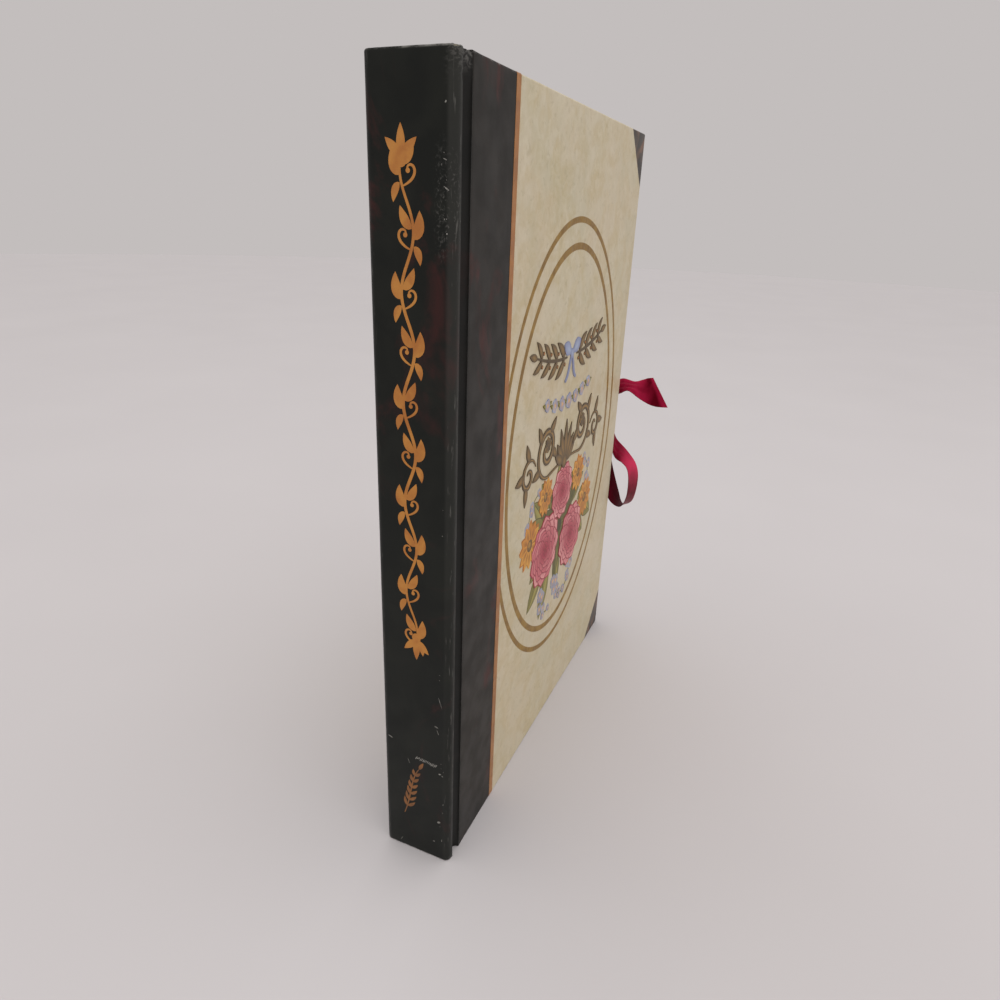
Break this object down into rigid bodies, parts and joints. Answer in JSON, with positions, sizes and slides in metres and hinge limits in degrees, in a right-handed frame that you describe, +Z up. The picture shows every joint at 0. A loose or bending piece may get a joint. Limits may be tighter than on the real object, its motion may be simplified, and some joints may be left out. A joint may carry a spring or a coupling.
{
  "type": "photograph album",
  "caption": "Case-bound album of window-mat photo leaves on linen hinges, with two boards that open flat, quarter-bound spine and corners, and a satin ribbon tie at the fore-edge.",
  "frame": {"origin": "middle of the spine's tail edge, on the surface that the album stands on", "axes": "+Z up the height, spine towards -Y, fore-edge towards +Y, front cover towards +X"},
  "size_m": [0.0744, 0.2412, 0.305],
  "materials": {
    "grey_board": "raw millboard",
    "dark_leatherette": "dark marbled leatherette paper, low sheen",
    "parchment_paper": "cream mottled parchment-look paper, printed",
    "endpaper": "plain cream endpaper",
    "mat_card": "ivory mat card with gilt window lines",
    "core_card": "plain buff card",
    "linen": "unbleached linen",
    "band_cloth": "striped headband cloth",
    "kraft": "brown kraft lining paper",
    "satin_ribbon": "crimson satin ribbon"
  },
  "bodies": {
    "text_block": {"spine_board": "grey_board", "spine_sheet": "dark_leatherette", "front_joint_cloth": "dark_leatherette", "back_joint_cloth": "dark_leatherette", "spine_lining": "kraft", "spine_gauze": "linen", "headband": "band_cloth", "tailband": "band_cloth", "guard_stubs": "mat_card", "sewing_thread": "linen"},
    "front_cover": {"front_board": "grey_board", "front_quarter_strip": "dark_leatherette", "front_side_paper": "parchment_paper", "front_corners": "dark_leatherette", "front_pastedown": "endpaper", "front_ribbon": "satin_ribbon"},
    "front_flyleaf": {"front_flyleaf": "endpaper"},
    "back_cover": {"back_board": "grey_board", "back_quarter_strip": "dark_leatherette", "back_side_paper": "parchment_paper", "back_corners": "dark_leatherette", "back_pastedown": "endpaper", "back_ribbon": "satin_ribbon"},
    "back_flyleaf": {"back_flyleaf": "endpaper"},
    "leaf_1": {"leaf_1_recto_mat": "mat_card", "leaf_1_verso_mat": "mat_card", "leaf_1_core": "core_card", "leaf_1_hinge": "linen"},
    "leaf_2": {"leaf_2_recto_mat": "mat_card", "leaf_2_verso_mat": "mat_card", "leaf_2_core": "core_card", "leaf_2_hinge": "linen"},
    "leaf_3": {"leaf_3_recto_mat": "mat_card", "leaf_3_verso_mat": "mat_card", "leaf_3_core": "core_card", "leaf_3_hinge": "linen"},
    "leaf_4": {"leaf_4_recto_mat": "mat_card", "leaf_4_verso_mat": "mat_card", "leaf_4_core": "core_card", "leaf_4_hinge": "linen"},
    "leaf_5": {"leaf_5_recto_mat": "mat_card", "leaf_5_verso_mat": "mat_card", "leaf_5_core": "core_card", "leaf_5_hinge": "linen"},
    "leaf_6": {"leaf_6_recto_mat": "mat_card", "leaf_6_verso_mat": "mat_card", "leaf_6_core": "core_card", "leaf_6_hinge": "linen"},
    "leaf_7": {"leaf_7_recto_mat": "mat_card", "leaf_7_verso_mat": "mat_card", "leaf_7_core": "core_card", "leaf_7_hinge": "linen"},
    "leaf_8": {"leaf_8_recto_mat": "mat_card", "leaf_8_verso_mat": "mat_card", "leaf_8_core": "core_card", "leaf_8_hinge": "linen"}
  },
  "joints": [
    {"name": "front_cover_open", "type": "hinge", "parent": "text_block", "child": "front_cover", "pos_m": [0.01585, 0.0049, 0], "axis": [0, 0, -1], "range_deg": [0, 180], "deforming": ["front_joint_cloth"]},
    {"name": "back_cover_open", "type": "hinge", "parent": "text_block", "child": "back_cover", "pos_m": [-0.01585, 0.0049, 0], "axis": [0, 0, 1], "range_deg": [0, 180], "deforming": ["back_joint_cloth"]},
    {"name": "front_flyleaf_turn", "type": "hinge", "parent": "text_block", "child": "front_flyleaf", "pos_m": [0.0113, 0.01595, 0], "axis": [0, 0, -1], "range_deg": [0, 147.6]},
    {"name": "back_flyleaf_turn", "type": "hinge", "parent": "text_block", "child": "back_flyleaf", "pos_m": [-0.0113, 0.01595, 0], "axis": [0, 0, 1], "range_deg": [0, 147.6]},
    {"name": "leaf_1_turn", "type": "hinge", "parent": "text_block", "child": "leaf_1", "pos_m": [0.00962, 0.01595, 0], "axis": [0, 0, -1], "range_deg": [0, 133.2], "deforming": ["leaf_1_hinge"]},
    {"name": "leaf_2_turn", "type": "hinge", "parent": "text_block", "child": "leaf_2", "pos_m": [0.00688, 0.01595, 0], "axis": [0, 0, -1], "range_deg": [0, 116.1], "deforming": ["leaf_2_hinge"]},
    {"name": "leaf_3_turn", "type": "hinge", "parent": "text_block", "child": "leaf_3", "pos_m": [0.00413, 0.01595, 0], "axis": [0, 0, -1], "range_deg": [0, 99], "deforming": ["leaf_3_hinge"]},
    {"name": "leaf_4_turn", "type": "hinge", "parent": "text_block", "child": "leaf_4", "pos_m": [0.00137, 0.01595, 0], "axis": [0, 0, -1], "range_deg": [0, 81.9], "deforming": ["leaf_4_hinge"]},
    {"name": "leaf_5_turn", "type": "hinge", "parent": "text_block", "child": "leaf_5", "pos_m": [-0.00137, 0.01595, 0], "axis": [0, 0, -1], "range_deg": [0, 64.8], "deforming": ["leaf_5_hinge"]},
    {"name": "leaf_6_turn", "type": "hinge", "parent": "text_block", "child": "leaf_6", "pos_m": [-0.00413, 0.01595, 0], "axis": [0, 0, -1], "range_deg": [0, 47.7], "deforming": ["leaf_6_hinge"]},
    {"name": "leaf_7_turn", "type": "hinge", "parent": "text_block", "child": "leaf_7", "pos_m": [-0.00688, 0.01595, 0], "axis": [0, 0, -1], "range_deg": [0, 30.6], "deforming": ["leaf_7_hinge"]},
    {"name": "leaf_8_turn", "type": "hinge", "parent": "text_block", "child": "leaf_8", "pos_m": [-0.00962, 0.01595, 0], "axis": [0, 0, -1], "range_deg": [0, 13.5], "deforming": ["leaf_8_hinge"]}
  ],
  "couplings": [
    {"joint": "front_flyleaf_turn", "follows": "front_cover_open", "ratio": 0.82},
    {"joint": "back_flyleaf_turn", "follows": "back_cover_open", "ratio": 0.82},
    {"joint": "leaf_1_turn", "follows": "front_cover_open", "ratio": 0.74},
    {"joint": "leaf_2_turn", "follows": "front_cover_open", "ratio": 0.645},
    {"joint": "leaf_3_turn", "follows": "front_cover_open", "ratio": 0.55},
    {"joint": "leaf_4_turn", "follows": "front_cover_open", "ratio": 0.455},
    {"joint": "leaf_5_turn", "follows": "front_cover_open", "ratio": 0.36},
    {"joint": "leaf_6_turn", "follows": "front_cover_open", "ratio": 0.265},
    {"joint": "leaf_7_turn", "follows": "front_cover_open", "ratio": 0.17},
    {"joint": "leaf_8_turn", "follows": "front_cover_open", "ratio": 0.075}
  ]
}
